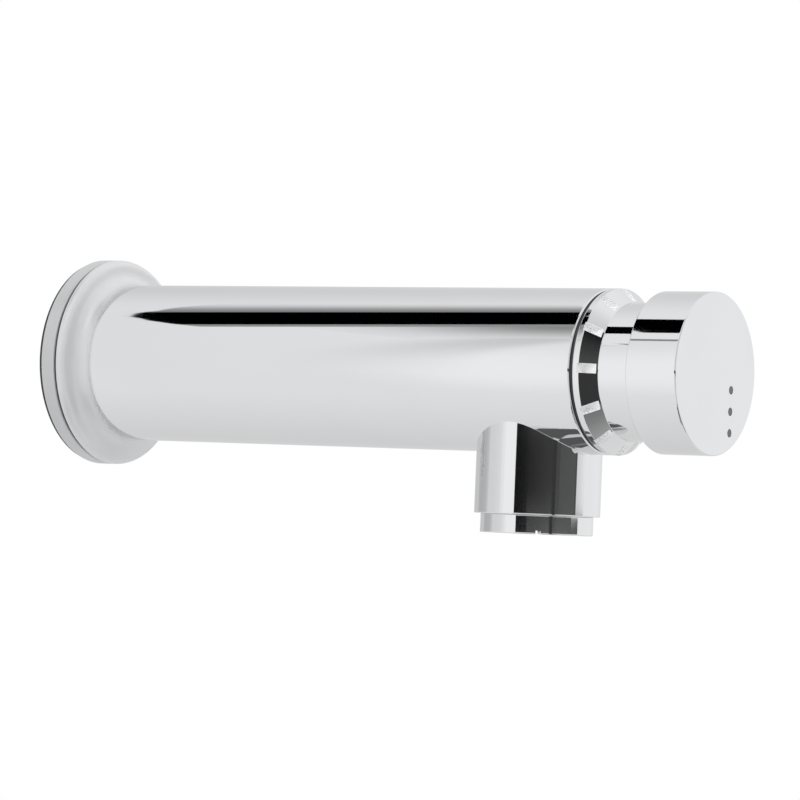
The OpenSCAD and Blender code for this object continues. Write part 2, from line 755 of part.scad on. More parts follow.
// Timing piston with its seal groove and the hole for the bleed jet
module piston() {
    outer = piston_d / 2;
    floor_r = cup_floor_d / 2;
    bore = stem_d / 2 + slide_fit;
    groove_s = (piston_s + piston_front_s) / 2;
    color(plastic) difference() {
        turned() polygon([
            [bore, piston_s], [outer, piston_s], [outer, groove_s - cup_groove_w / 2],
            [floor_r, groove_s - cup_groove_w / 2], [floor_r, groove_s + cup_groove_w / 2],
            [outer, groove_s + cup_groove_w / 2], [outer, piston_front_s], [bore, piston_front_s]
        ]);
        translate([jet_reach, 0, 0]) bar(jet_d + 2 * slide_fit, piston_s - past, piston_front_s + past);
    }
}

// Lip seal in the piston's groove, open towards the spring side
module cup_seal() {
    outer = dashpot_d / 2 - slide_fit;
    floor_r = cup_floor_d / 2 + slide_fit;
    groove_s = (piston_s + piston_front_s) / 2;
    rear = groove_s - cup_groove_w / 2 + slide_fit;
    front = groove_s + cup_groove_w / 2 - slide_fit;
    lip = cup_groove_depth / 3;
    color(rubber) turned() polygon([
        [floor_r, rear], [floor_r + lip, rear], [(floor_r + outer) / 2, (rear + front) / 2],
        [outer - lip, rear], [outer, rear], [outer, front], [floor_r, front]
    ]);
}

// Brass jet whose fine hole sets the time
module bleed_jet() {
    color(brass) translate([jet_reach, 0, 0])
        ring(jet_d, jet_hole_d, piston_s + stop_gap, piston_front_s + stop_gap);
}

// Clip that holds the piston on the stem
module piston_clip() {
    color(steel) ring(clip_d, stem_d - 2 * clip_groove + 2 * slide_fit, piston_front_s, piston_front_s + clip_t);
}

// Ring that holds the hub on the stem
module snap_ring() {
    color(steel) ring(clip_d, stem_end_d - 2 * clip_groove + 2 * slide_fit, snap_s, snap_s + clip_t);
}

// Hub inside the button, which turns on the stem
module button_hub() {
    bore = stem_end_d / 2 + slide_fit;
    pocket_s = snap_s - seat_gap;
    boss = hub_boss_d / 2;
    disc = button_bore_d / 2 - slide_fit;
    pocket = hub_pocket_d / 2;
    color(plastic) turned() polygon([
        [bore, hub_s], [boss, hub_s], [boss, hub_disc_s], [disc, hub_disc_s], [disc, hub_front_s],
        [pocket, hub_front_s], [pocket, pocket_s], [bore, pocket_s]
    ]);
}

// Places of the dots on the button's face
module at_dots() {
    for (k = [-1:1]) {
        translate([dot_right, 0, -dot_below + k * dot_pitch]) children();
    }
}

// Chromed push button
module button() {
    outer = button_d / 2;
    inner = button_bore_d / 2;
    color(chrome) difference() {
        turned() polygon([
            [inner, button_s], [outer - edge / 2, button_s], [outer, button_s + edge / 2],
            [outer, face_s - button_edge], [outer - button_edge, face_s], [0, face_s],
            [0, hub_front_s], [inner, hub_front_s]
        ]);
        at_dots() bar(dot_d + 2 * slide_fit, face_s - dot_depth, face_s + past);
    }
}

// Small plain marks let into the button's face
module button_dots() {
    color(rubber) at_dots() bar(dot_d, face_s - dot_depth, face_s);
}

wall_gasket();
wall_ring();
flange_gasket();
body();
inlet_nipple();
nipple_washer();
inlet_strainer();
cartridge_sleeve();
seat_ring();
rear_o_ring();
front_o_ring();
stem_guide();
stem_guide_o_ring();
dashpot_cap();
gland_o_ring();
bonnet_gasket();
bonnet();
aerator_washer();
aerator_regulator();
aerator_screen();
aerator_insert();
aerator_ring();
return_spring();
stem();
poppet();
poppet_washer();
poppet_nut();
piston();
cup_seal();
bleed_jet();
piston_clip();
snap_ring();
button_hub();
button();
button_dots();
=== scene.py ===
import json
import math

import bpy
from mathutils import Matrix, Vector

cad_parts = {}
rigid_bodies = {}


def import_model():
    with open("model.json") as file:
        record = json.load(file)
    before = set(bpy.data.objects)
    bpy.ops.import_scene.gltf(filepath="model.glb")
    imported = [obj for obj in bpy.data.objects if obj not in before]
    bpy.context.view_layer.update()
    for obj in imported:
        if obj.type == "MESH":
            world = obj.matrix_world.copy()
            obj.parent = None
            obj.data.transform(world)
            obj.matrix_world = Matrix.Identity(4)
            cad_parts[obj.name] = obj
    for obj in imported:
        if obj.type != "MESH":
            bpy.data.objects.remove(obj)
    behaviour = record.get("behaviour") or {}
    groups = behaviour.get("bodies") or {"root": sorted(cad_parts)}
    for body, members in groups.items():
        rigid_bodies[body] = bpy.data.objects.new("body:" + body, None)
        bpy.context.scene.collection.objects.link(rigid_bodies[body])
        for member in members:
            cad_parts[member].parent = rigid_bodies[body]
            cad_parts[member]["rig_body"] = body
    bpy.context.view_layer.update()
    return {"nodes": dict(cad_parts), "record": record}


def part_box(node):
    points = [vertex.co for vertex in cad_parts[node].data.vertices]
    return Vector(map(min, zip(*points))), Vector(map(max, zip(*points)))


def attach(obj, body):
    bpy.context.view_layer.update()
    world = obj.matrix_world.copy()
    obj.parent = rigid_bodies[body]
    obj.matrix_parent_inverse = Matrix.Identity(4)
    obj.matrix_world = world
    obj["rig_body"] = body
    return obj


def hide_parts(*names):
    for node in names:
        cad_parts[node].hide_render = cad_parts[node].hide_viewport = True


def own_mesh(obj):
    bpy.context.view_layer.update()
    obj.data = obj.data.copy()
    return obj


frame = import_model()

MM = 0.001


# Sizes that the frame gives
def rear_of(node):
    return -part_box(node)[1].y


def front_of(node):
    return -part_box(node)[0].y


def radius_of(node):
    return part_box(node)[1].x


FLANGE_R = radius_of("body")
TUBE_R = radius_of("bonnet")
GASKET_R = radius_of("wall_gasket")
BONNET_GASKET_R = radius_of("bonnet_gasket")
BUTTON_R = radius_of("button")
COLLAR_R = radius_of("aerator_ring")
THREAD_R = frame["record"]["mounts"][0]["dims"]["r_mm"] * MM
BODY_REAR = rear_of("body")
BODY_FRONT = front_of("body")
SPOUT_END_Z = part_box("body")[0].z
COLLAR_END_Z, RING_TOP_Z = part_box("aerator_ring")[0].z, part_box("aerator_ring")[1].z
SPOUT_Y = (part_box("aerator_ring")[0].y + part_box("aerator_ring")[1].y) / 2

# Sizes that the frame's boxes don't show
SPOUT_R = 15.25 * MM
NECK_R = 16.6 * MM
RIM_HEIGHT = 1.8 * MM
EDGE = 0.4 * MM
HOLD = 0.12 * MM
INLET_HOLE_R = 14.46 * MM
WATERWAY_R = 6.5 * MM
SPIN_STEPS = 144
ARC_STEPS = 8

# Shaping helpers


def nothing_selected():
    if bpy.context.mode != "OBJECT":
        bpy.ops.object.mode_set(mode="OBJECT")
    bpy.ops.object.select_all(action="DESELECT")


def rounded(corners):
    """Points of a closed outline of (a, b, rounding) corners, with a point that holds each rounding's end."""
    arcs = []
    for i, (a, b, rounding) in enumerate(corners):
        here = Vector((a, b))
        to_last = (Vector(corners[i - 1][:2]) - here).normalized()
        to_next = (Vector(corners[(i + 1) % len(corners)][:2]) - here).normalized()
        if rounding == 0:
            arcs.append([here])
            continue
        opening = to_last.angle(to_next)
        reach = rounding / math.tan(opening / 2)
        middle = here + (to_last + to_next).normalized() * rounding / math.sin(opening / 2)
        from_middle = here + to_last * reach - middle
        turn = from_middle.angle_signed(here + to_next * reach - middle)
        arcs.append([
            middle + Matrix.Rotation(-turn * k / ARC_STEPS, 2) @ from_middle for k in range(ARC_STEPS + 1)
        ])
    points = []
    for arc, following in zip(arcs, arcs[1:] + arcs[:1]):
        points += arc
        gap = following[0] - arc[-1]
        if gap.length > 5 * HOLD:
            step = gap.normalized() * HOLD
            points += [arc[-1] + step, following[0] - step]
    return points


def on_tap(r, s):
    return Vector((r, -s, 0))


def on_spout(r, z):
    return Vector((r, SPOUT_Y, z))


def turned(name, corners, place=on_tap, steps=SPIN_STEPS):
    """A closed outline spun once round the tap's axis or the spout's."""
    points = rounded(corners)
    nothing_selected()
    bpy.ops.mesh.primitive_circle_add(vertices=len(points))
    piece = bpy.context.object
    piece.name = name
    for vertex, point in zip(piece.data.vertices, points):
        vertex.co = place(*point)
    axis = (0, 1, 0) if place == on_tap else (0, 0, 1)
    bpy.ops.object.mode_set(mode="EDIT")
    bpy.ops.mesh.select_all(action="SELECT")
    bpy.ops.mesh.spin(steps=steps, angle=math.tau, center=place(0, 0), axis=axis)
    tidy_edit_mesh()
    return piece


def tidy_edit_mesh():
    """Closes seams and poles, turns the faces outwards and leaves edit mode."""
    bpy.ops.mesh.select_all(action="SELECT")
    bpy.ops.mesh.remove_doubles(threshold=1e-6)
    bpy.ops.mesh.normals_make_consistent(inside=False)
    bpy.ops.object.mode_set(mode="OBJECT")


def combine(piece, tool, operation):
    """Adds or cuts a closed tool shape, which is used up."""
    nothing_selected()
    piece.select_set(True)
    bpy.context.view_layer.objects.active = piece
    change = piece.modifiers.new(operation.lower(), "BOOLEAN")
    change.operation = operation
    change.solver = "EXACT"
    change.object = tool
    bpy.ops.object.modifier_apply(modifier=change.name)
    bpy.data.objects.remove(tool)


def box_tool(low, high, turn=Matrix.Identity(4)):
    nothing_selected()
    bpy.ops.mesh.primitive_cube_add(size=1)
    tool = bpy.context.object
    middle, size = (Vector(low) + Vector(high)) / 2, Vector(high) - Vector(low)
    tool.data.transform(turn @ Matrix.Translation(middle) @ Matrix.Diagonal((*size, 1)))
    return tool


def dress(piece, node, slot):
    """Smooths a finished piece and puts it in its node's place, on its node's body."""
    nothing_selected()
    piece.select_set(True)
    bpy.context.view_layer.objects.active = piece
    bpy.ops.object.shade_smooth_by_angle(angle=math.radians(32))
    body = frame["nodes"][node]["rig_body"]
    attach(piece, body)
    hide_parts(node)
    piece.data.materials.clear()
    piece.data.materials.append(FINISHES[slot])
    return piece


# Shader maths


class Link:
    """A shader socket that Python's operators work on, in the node tree that it belongs to."""

    def __init__(self, tree, socket):
        self.tree = tree
        self.socket = socket

    def node(self, kind, settings=None, inputs=None, out=0):
        """Makes any node: its settings are set first, then its sockets get values or links."""
        made = self.tree.nodes.new("ShaderNode" + kind)
        for name, value in (settings or {}).items():
            setattr(made, name, value)
        for name, value in (inputs or {}).items():
            if isinstance(value, Link):
                self.tree.links.new(value.socket, made.inputs[name])
            else:
                made.inputs[name].default_value = value
        return Link(self.tree, made.outputs[out])

    def maths(self, operation, first, second=0.0):
        return self.node("Math", {"operation": operation}, {0: first, 1: second})

    def __add__(self, other):
        return self.maths("ADD", self, other)

    def __sub__(self, other):
        return self.maths("SUBTRACT", self, other)

    def __rsub__(self, other):
        return self.maths("SUBTRACT", other, self)

    def __mul__(self, other):
        return self.maths("MULTIPLY", self, other)

    __radd__ = __add__
    __rmul__ = __mul__

    def between(self, low, high):
        """0 at low and below, 1 at high and above, smooth in between."""
        settings = {"interpolation_type": "SMOOTHSTEP"}
        return self.node("MapRange", settings, {"Value": self, "From Min": low, "From Max": high})

    def over(self, limit):
        """1 above a limit, and 0 below it."""
        return self.maths("GREATER_THAN", self, limit)

    def sideways(self, axes):
        """Length of a position, counting only the axes that are 1."""
        part = self.node("VectorMath", {"operation": "MULTIPLY"}, {0: self, 1: axes}, "Vector")
        return self.node("VectorMath", {"operation": "LENGTH"}, {0: part}, "Value")

    def along(self, direction):
        """How far a position lies along a direction."""
        return self.node("VectorMath", {"operation": "DOT_PRODUCT"}, {0: self, 1: direction}, "Value")

    def noise(self, scale, detail=3.0, stretch=(1, 1, 1)):
        moved = self.node("Mapping", {}, {"Vector": self, "Scale": stretch})
        return self.node("TexNoise", {}, {"Vector": moved, "Scale": scale, "Detail": detail})

    def mix(self, low, high):
        """A colour from low to high as this value goes from 0 to 1."""
        settings = {"data_type": "RGBA"}
        return self.node("Mix", settings, {"Factor": self, "A": low, "B": high}, "Result")

    def bump(self, strength, distance):
        return self.node("Bump", {}, {"Height": self, "Strength": strength, "Distance": distance}, "Normal")


def grey(shade):
    return (shade, shade, shade, 1)


def surface(name, **constants):
    """A material with constants on its Principled shader, with its coordinates and a way to link sockets."""
    material = bpy.data.materials.new(name)
    material.use_nodes = True
    tree = material.node_tree
    shader = tree.nodes["Principled BSDF"]
    for socket, value in constants.items():
        shader.inputs[socket.replace("_", " ")].default_value = value
    at = Link(tree, tree.nodes.new("ShaderNodeTexCoord").outputs["Object"])

    def feed(socket, link):
        tree.links.new(link.socket, shader.inputs[socket])

    return material, at, feed


# Finishes

PLATE = (0.765, 0.770, 0.780, 1)
PLATE_SMUDGED = (0.750, 0.755, 0.764, 1)
# The flange and wall ring colours are painted shade: a darker grey standing in for the shade their plate
# reflects.
FLANGE_PAINTED_SHADE = (0.685, 0.690, 0.697, 1)
RING_PAINTED_SHADE = (0.570, 0.575, 0.583, 1)
# The notch colour is a painted highlight: near-white standing in for the glint in the bonnet's notches.
NOTCH_PAINTED_HIGHLIGHT = (0.985, 0.987, 0.990, 1)
SKIN = 0.06 * MM


def polished_chrome():
    """Bright plate with faint smudges. Flange and wall ring are satin and darker grey, the grey a painted
    shade for what they reflect; the bonnet's notches are near-white, a painted highlight.
    """
    material, at, feed = surface("polished_chrome")
    station = at.along((0, -1, 0))
    from_axis = at.sideways((1, 0, 1))
    smudge = at.noise(38, 4.0).between(0.48, 0.74)
    # Flange and wall ring get satin roughness and a darker grey; the darker grey is painted shade.
    flange_satin_and_shade = 1 - station.between(10.5 * MM, 12.5 * MM)
    ring_painted_shade = 1 - station.between(5 * MM, 5.4 * MM)
    chamfer = front_of("bonnet_gasket") + RIM_HEIGHT
    skin = chamfer + TUBE_R - SKIN
    # The notches get a rough near-white, a painted highlight.
    notch_highlight = station.over(chamfer - EDGE - 0.05 * MM) * from_axis.over(NECK_R + 0.1 * MM)
    notch_highlight = notch_highlight * (1 - (station + from_axis).over(skin)) * (1 - from_axis.over(TUBE_R - SKIN))
    plate = smudge.mix(PLATE, PLATE_SMUDGED)
    plate = flange_satin_and_shade.mix(plate, FLANGE_PAINTED_SHADE)
    plate = ring_painted_shade.mix(plate, RING_PAINTED_SHADE)
    feed("Base Color", notch_highlight.mix(plate, NOTCH_PAINTED_HIGHLIGHT))
    feed("Metallic", 1 - notch_highlight * 0.6 - flange_satin_and_shade * 0.7)
    feed("Roughness", 0.03 + smudge * 0.02 + flange_satin_and_shade * 0.35 + notch_highlight * 0.6)
    return material


def moulded_rubber():
    material, at, feed = surface("moulded_rubber", Specular_IOR_Level=0.35)
    grain = at.noise(2600, 3.0)
    bloom = at.noise(160, 4.0).between(0.4, 0.75)
    feed("Base Color", bloom.mix((0.036, 0.036, 0.038, 1), (0.062, 0.062, 0.065, 1)))
    feed("Roughness", 0.52 + bloom * 0.2)
    feed("Normal", grain.bump(0.25, 0.00005))
    return material


def turned_metal(name, clean, dull, tool_mark):
    """Turned metal with fine tool marks round the tap's axis and a patchy dulled skin."""
    material, at, feed = surface(name, Metallic=1.0)
    marks = at.noise(tool_mark, 2.0, (0.02, 1, 0.02))
    skin = at.noise(120, 5.0).between(0.42, 0.72)
    feed("Base Color", skin.mix(clean, dull))
    feed("Roughness", 0.2 + skin * 0.16 + marks * 0.06)
    feed("Normal", marks.bump(0.18, 0.00004))
    return material


def moulded_plastic(name, colour, shade):
    material, at, feed = surface(name, Specular_IOR_Level=0.45)
    flow = at.noise(70, 4.0).between(0.3, 0.8)
    grain = at.noise(1900, 2.0)
    feed("Base Color", flow.mix(colour, shade))
    feed("Roughness", 0.36 + grain * 0.14)
    feed("Normal", grain.bump(0.12, 0.00004))
    return material


def pressed_fibre():
    material, at, feed = surface("pressed_fibre", Specular_IOR_Level=0.2)
    strands = at.noise(1200, 4.0, (1, 1, 0.15))
    feed("Base Color", strands.between(0.3, 0.7).mix((0.40, 0.14, 0.09, 1), (0.54, 0.24, 0.15, 1)))
    feed("Roughness", 0.7 + strands * 0.2)
    feed("Normal", strands.bump(0.4, 0.0001))
    return material


def dark_enamel():
    material, at, feed = surface("dark_enamel", Coat_Weight=0.4, Coat_Roughness=0.12)
    pool = at.noise(1500, 2.0).between(0.3, 0.7)
    feed("Base Color", pool.mix((0.060, 0.060, 0.062, 1), (0.095, 0.095, 0.098, 1)))
    feed("Roughness", 0.3 + pool * 0.15)
    return material


FINISHES = {
    "chrome": polished_chrome(),
    "black_rubber": moulded_rubber(),
    "brass": turned_metal("turned_brass", (0.72, 0.53, 0.25, 1), (0.58, 0.41, 0.18, 1), 1400),
    "stainless_steel": turned_metal("turned_steel", (0.62, 0.62, 0.63, 1), (0.52, 0.52, 0.53, 1), 1800),
    "white_plastic": moulded_plastic("white_acetal", (0.84, 0.84, 0.82, 1), (0.80, 0.80, 0.77, 1)),
    "green_plastic": moulded_plastic("green_plastic", (0.15, 0.45, 0.28, 1), (0.12, 0.39, 0.24, 1)),
    "red_fibre": pressed_fibre(),
    "dot_enamel": dark_enamel(),
}

for sub_part in frame["record"]["subparts"]:
    materials = frame["nodes"][sub_part["node"]].data.materials
    materials.clear()
    materials.append(FINISHES[sub_part["material_slot"]])

# Rubber sheets and the wall ring


def flat_ring(name, node, outer, inner, rounding, slot):
    rear, front = rear_of(node), front_of(node)
    piece = turned(name, [
        (inner, rear, 0), (outer, rear, rounding), (outer, front, rounding), (inner, front, 0)
    ])
    return dress(piece, node, slot)


SHEET_EDGE = 0.2 * MM
RING_EDGE = 0.5 * MM
BONNET_HOLE_R = 17.1 * MM
flat_ring("wall_gasket_sheet", "wall_gasket", GASKET_R, INLET_HOLE_R, SHEET_EDGE, "black_rubber")
flat_ring("wall_ring_polished", "wall_ring", FLANGE_R, INLET_HOLE_R, RING_EDGE, "chrome")
flat_ring("flange_gasket_sheet", "flange_gasket", GASKET_R, INLET_HOLE_R, SHEET_EDGE, "black_rubber")
flat_ring("bonnet_gasket_sheet", "bonnet_gasket", BONNET_GASKET_R, BONNET_HOLE_R, SHEET_EDGE, "black_rubber")

# Return spring, wound from its rear end to its front end

SPRING_WIRE_R = 0.5 * MM
SPRING_WIRE_SIDES = 12
SPRING_TURNS = 5
SPRING_TURN_STEPS = 36


def wound_spring():
    rear, front = rear_of("return_spring"), front_of("return_spring")
    coil_r = radius_of("return_spring") - SPRING_WIRE_R
    nothing_selected()
    bpy.ops.mesh.primitive_circle_add(vertices=SPRING_WIRE_SIDES, radius=SPRING_WIRE_R)
    piece = bpy.context.object
    piece.name = "return_spring_wound"
    piece.data.transform(Matrix.Translation((coil_r, -rear - SPRING_WIRE_R, 0)))
    winding = piece.modifiers.new("winding", "SCREW")
    winding.axis = "Y"
    winding.angle = -math.tau
    winding.screw_offset = -(front - rear - 2 * SPRING_WIRE_R) / SPRING_TURNS
    winding.iterations = SPRING_TURNS
    winding.steps = SPRING_TURN_STEPS
    winding.render_steps = SPRING_TURN_STEPS
    bpy.ops.object.modifier_apply(modifier=winding.name)
    bpy.ops.object.mode_set(mode="EDIT")
    bpy.ops.mesh.select_all(action="SELECT")
    bpy.ops.mesh.fill_holes(sides=0)
    tidy_edit_mesh()
    dress(piece, "return_spring", "stainless_steel")
    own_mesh(piece)


wound_spring()

# Body: flange and tube turned as one, then the spout drawn out of an opening in its underside

REAR_EDGE = 0.15 * MM
RIM_ROUND = 1.85 * MM
FLANGE_THICK = 2.0 * MM
FILLET = 3.4 * MM
OPENING_REAR = 108 * MM
OPENING_FRONT = 152.4 * MM
OPENING_ROWS = 34
OPENING_TURN = math.radians(65)
SPOUT_FILLET = 0.08 * MM
SPOUT_LIP_ROUND = 0.25 * MM
AERATOR_SOCKET_R = 12.1 * MM
AERATOR_SEAT_Z = -27 * MM
SPOUT_CEILING_Z = -24 * MM
AERATOR_SEAT_W = 1.6 * MM
OPENING_STEPS = 7
FILLET_STEPS = 7

# Radius and station in mm: bonnet thread, cartridge bore, chamber, inlet, strainer seat and nipple socket
BODY_BORES = (
    (17.1, 153.6), (17.1, 143.1), (15.5, 143.1), (15.5, 110.4), (16.5, 110.4), (16.5, 26.9),
    (6.5, 26.9), (6.5, 23.3), (8.2, 23.3), (8.2, 22.0), (10.58, 22.0), (10.58, 5.6),
)


def body_corners():
    flange_front = BODY_REAR + FLANGE_THICK
    opening = OPENING_FRONT - OPENING_REAR
    rows = [OPENING_REAR + opening * k / OPENING_ROWS for k in range(OPENING_ROWS + 1)]
    corners = [
        (FLANGE_R, BODY_REAR, REAR_EDGE), (FLANGE_R, flange_front, RIM_ROUND), (TUBE_R, flange_front, FILLET),
    ]
    corners += [(TUBE_R, s, 0) for s in rows]
    corners += [(TUBE_R, BODY_FRONT, EDGE)]
    return corners + [(r * MM, s * MM, 0) for r, s in BODY_BORES]


def spot(co):
    return tuple(round(x * 1e7) for x in co)


def draw_out(piece, columns, place):
    """Extrudes the selected open edge once and moves each new vertex to its column's place."""
    bpy.ops.object.mode_set(mode="EDIT")
    bpy.ops.mesh.extrude_edges_indiv()
    bpy.ops.object.mode_set(mode="OBJECT")
    moved = {}
    for vertex in piece.data.vertices:
        if vertex.select:
            column = columns[spot(vertex.co)]
            vertex.co = place(column)
            moved[spot(vertex.co)] = column
    return moved


def make_body():
    piece = turned("body_polished", body_corners())
    mesh = piece.data

    # Opening in the underside
    for polygon in mesh.polygons:
        x, y, z = polygon.center
        outer = math.hypot(x, z) > TUBE_R - 0.5 * MM
        polygon.select = (
            outer and z < 0 and OPENING_REAR < -y < OPENING_FRONT and abs(math.atan2(x, -z)) < OPENING_TURN
        )
    for edge in mesh.edges:
        edge.select = False
    for vertex in mesh.vertices:
        vertex.select = False
    bpy.ops.object.mode_set(mode="EDIT")
    bpy.ops.mesh.select_mode(type="FACE")
    bpy.ops.mesh.delete(type="FACE")
    bpy.ops.mesh.select_mode(type="EDGE")
    bpy.ops.mesh.select_all(action="DESELECT")
    bpy.ops.mesh.select_non_manifold(extend=False)
    bpy.ops.object.mode_set(mode="OBJECT")

    # A column is the turn round the spout's axis, and how far out its line starts
    columns = {}
    for vertex in mesh.vertices:
        if vertex.select:
            x, y = vertex.co.x, vertex.co.y - SPOUT_Y
            columns[spot(vertex.co)] = (math.atan2(y, x), math.hypot(x, y))
    ball_r = SPOUT_R + SPOUT_FILLET
    ball_tube_r = TUBE_R + SPOUT_FILLET

    def ball(turn):
        """Middle of the rolling ball that makes the fillet, for a column's turn on the tube."""
        turn = math.atan2(math.sin(turn) * TUBE_R, math.cos(turn) * ball_tube_r)
        x = ball_r * math.cos(turn)
        return turn, Vector((x, SPOUT_Y + ball_r * math.sin(turn), -math.sqrt(ball_tube_r**2 - x * x)))

    def on_fillet(turn, share):
        """A point of the fillet, from the tube at share 0 to the spout's wall at share 1."""
        turn, middle = ball(turn)
        to_tube = Vector((-middle.x, 0, -middle.z)).normalized()
        to_spout = Vector((-math.cos(turn), -math.sin(turn), 0))
        return middle + to_tube.slerp(to_spout, share) * SPOUT_FILLET

    def on_tube(column, share):
        turn, start = column
        end = on_fillet(turn, 0)
        reach = math.hypot(end.x, end.y - SPOUT_Y)
        r = start + (reach - start) * share
        x = r * math.cos(turn)
        return Vector((x, SPOUT_Y + r * math.sin(turn), -math.sqrt(TUBE_R**2 - x * x)))

    def on_wall(column, r, z):
        turn = ball(column[0])[0]
        return Vector((r * math.cos(turn), SPOUT_Y + r * math.sin(turn), z))

    for k in range(OPENING_STEPS):
        columns = draw_out(piece, columns, lambda c: on_tube(c, (k + 1) / OPENING_STEPS))
    for k in range(FILLET_STEPS):
        columns = draw_out(piece, columns, lambda c: on_fillet(c[0], (k + 1) / FILLET_STEPS))
    columns = draw_out(piece, columns, lambda c: on_wall(c, SPOUT_R, on_fillet(c[0], 1).z - HOLD))
    lip_z = SPOUT_END_Z + SPOUT_LIP_ROUND
    columns = draw_out(piece, columns, lambda c: on_wall(c, SPOUT_R, lip_z + HOLD))
    for k in range(ARC_STEPS + 1):
        a = math.pi / 2 * k / ARC_STEPS
        r = SPOUT_R - SPOUT_LIP_ROUND * (1 - math.cos(a))
        columns = draw_out(piece, columns, lambda c: on_wall(c, r, lip_z - SPOUT_LIP_ROUND * math.sin(a)))
    lip_r = SPOUT_R - SPOUT_LIP_ROUND - HOLD
    seat_r = AERATOR_SOCKET_R - AERATOR_SEAT_W
    for r, z in (
        (lip_r, SPOUT_END_Z), (AERATOR_SOCKET_R, SPOUT_END_Z), (AERATOR_SOCKET_R, AERATOR_SEAT_Z),
        (seat_r, AERATOR_SEAT_Z), (seat_r, SPOUT_CEILING_Z),
    ):
        columns = draw_out(piece, columns, lambda c: on_wall(c, r, z))
    bpy.ops.object.mode_set(mode="EDIT")
    bpy.ops.mesh.edge_face_add()
    tidy_edit_mesh()
    return dress(piece, "body", "chrome")


make_body()

# Bonnet: rim, notched chamfer and neck

BONNET_THREAD_R = 17.0 * MM
BONNET_BORE_R = 13.0 * MM
BONNET_GUIDE_R = 11.5 * MM
BONNET_GUIDE_LENGTH = 6.5 * MM
CHAMFER_EDGE = 0.12 * MM
NECK_EDGE = 0.15 * MM
NOTCHES = 12
NOTCH_W = 2.3 * MM
NOTCH_FLOOR_R = 16.9 * MM
PAST = 1 * MM


def make_bonnet():
    rear, front = rear_of("bonnet"), front_of("bonnet")
    rim = front_of("bonnet_gasket")
    chamfer = rim + RIM_HEIGHT
    neck = chamfer + TUBE_R - NECK_R
    guide = front - BONNET_GUIDE_LENGTH
    piece = turned("bonnet_polished", [
        (BONNET_BORE_R, rear, 0), (BONNET_THREAD_R, rear, 0), (BONNET_THREAD_R, rim, 0), (TUBE_R, rim, EDGE),
        (TUBE_R, chamfer, CHAMFER_EDGE), (NECK_R, neck, NECK_EDGE), (NECK_R, front, EDGE),
        (BONNET_GUIDE_R, front, 0), (BONNET_GUIDE_R, guide, 0), (BONNET_BORE_R, guide, 0),
    ])
    for k in range(NOTCHES):
        turn = Matrix.Rotation(math.tau * k / NOTCHES, 4, "Y")
        low = (NOTCH_FLOOR_R, -neck - PAST, -NOTCH_W / 2)
        high = (TUBE_R + PAST, -chamfer + EDGE, NOTCH_W / 2)
        combine(piece, box_tool(low, high, turn), "DIFFERENCE")
    return dress(piece, "bonnet", "chrome")


make_bonnet()

# Button and its dots

BUTTON_BORE_R = 17.1 * MM
BUTTON_FACE_T = 2.5 * MM
FACE_ROUND = 0.35 * MM
SKIRT_ROUND = 0.2 * MM
DOT_R = 0.95 * MM
DOT_DEPTH = 0.5 * MM
DOT_FIT = 0.05 * MM
DOT_EDGE = 0.15 * MM
DOT_STEPS = 48


def dot_places():
    low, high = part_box("button_dots")
    x, bottom, top = (low.x + high.x) / 2, low.z + DOT_R, high.z - DOT_R
    return [(x, bottom), (x, (bottom + top) / 2), (x, top)]


def make_button():
    rear, front = rear_of("button"), front_of("button")
    piece = turned("button_polished", [
        (BUTTON_BORE_R, rear, 0), (BUTTON_R, rear, SKIRT_ROUND), (BUTTON_R, front, FACE_ROUND), (0, front, 0),
        (0, front - BUTTON_FACE_T, 0), (BUTTON_BORE_R, front - BUTTON_FACE_T, 0),
    ])
    for x, z in dot_places():
        tool = turned("dot_cutter", [
            (0, front + PAST, 0), (0, front - DOT_DEPTH, 0),
            (DOT_R + DOT_FIT, front - DOT_DEPTH, 0), (DOT_R + DOT_FIT, front + PAST, 0),
        ], steps=DOT_STEPS)
        tool.data.transform(Matrix.Translation((x, 0, z)))
        combine(piece, tool, "DIFFERENCE")
    return dress(piece, "button", "chrome")


def make_dots():
    front = front_of("button_dots")
    floor = front - DOT_DEPTH
    dots = []
    for x, z in dot_places():
        corners = [(0, front, 0), (0, floor, 0), (DOT_R, floor, 0), (DOT_R, front, DOT_EDGE)]
        dot = turned("button_dot", corners, steps=DOT_STEPS)
        dot.data.transform(Matrix.Translation((x, 0, z)))
        dots.append(dot)
    nothing_selected()
    for dot in dots:
        dot.select_set(True)
    bpy.context.view_layer.objects.active = dots[0]
    bpy.ops.object.join()
    dots[0].name = "button_dots_enamel"
    return dress(dots[0], "button_dots", "dot_enamel")


make_button()
make_dots()

# Aerator ring with its key notches

KEYS = 4
KEY_W = 1.2 * MM
KEY_DEPTH = 0.9 * MM
KEY_TURN = math.radians(33)
AERATOR_BORE_R = 10.3 * MM
AERATOR_LIP_R = 9.4 * MM
AERATOR_LIP_T = 1.2 * MM
AERATOR_THREAD_FIT = 0.1 * MM
COLLAR_EDGE = 0.2 * MM
COLLAR_END_ROUND = 0.25 * MM


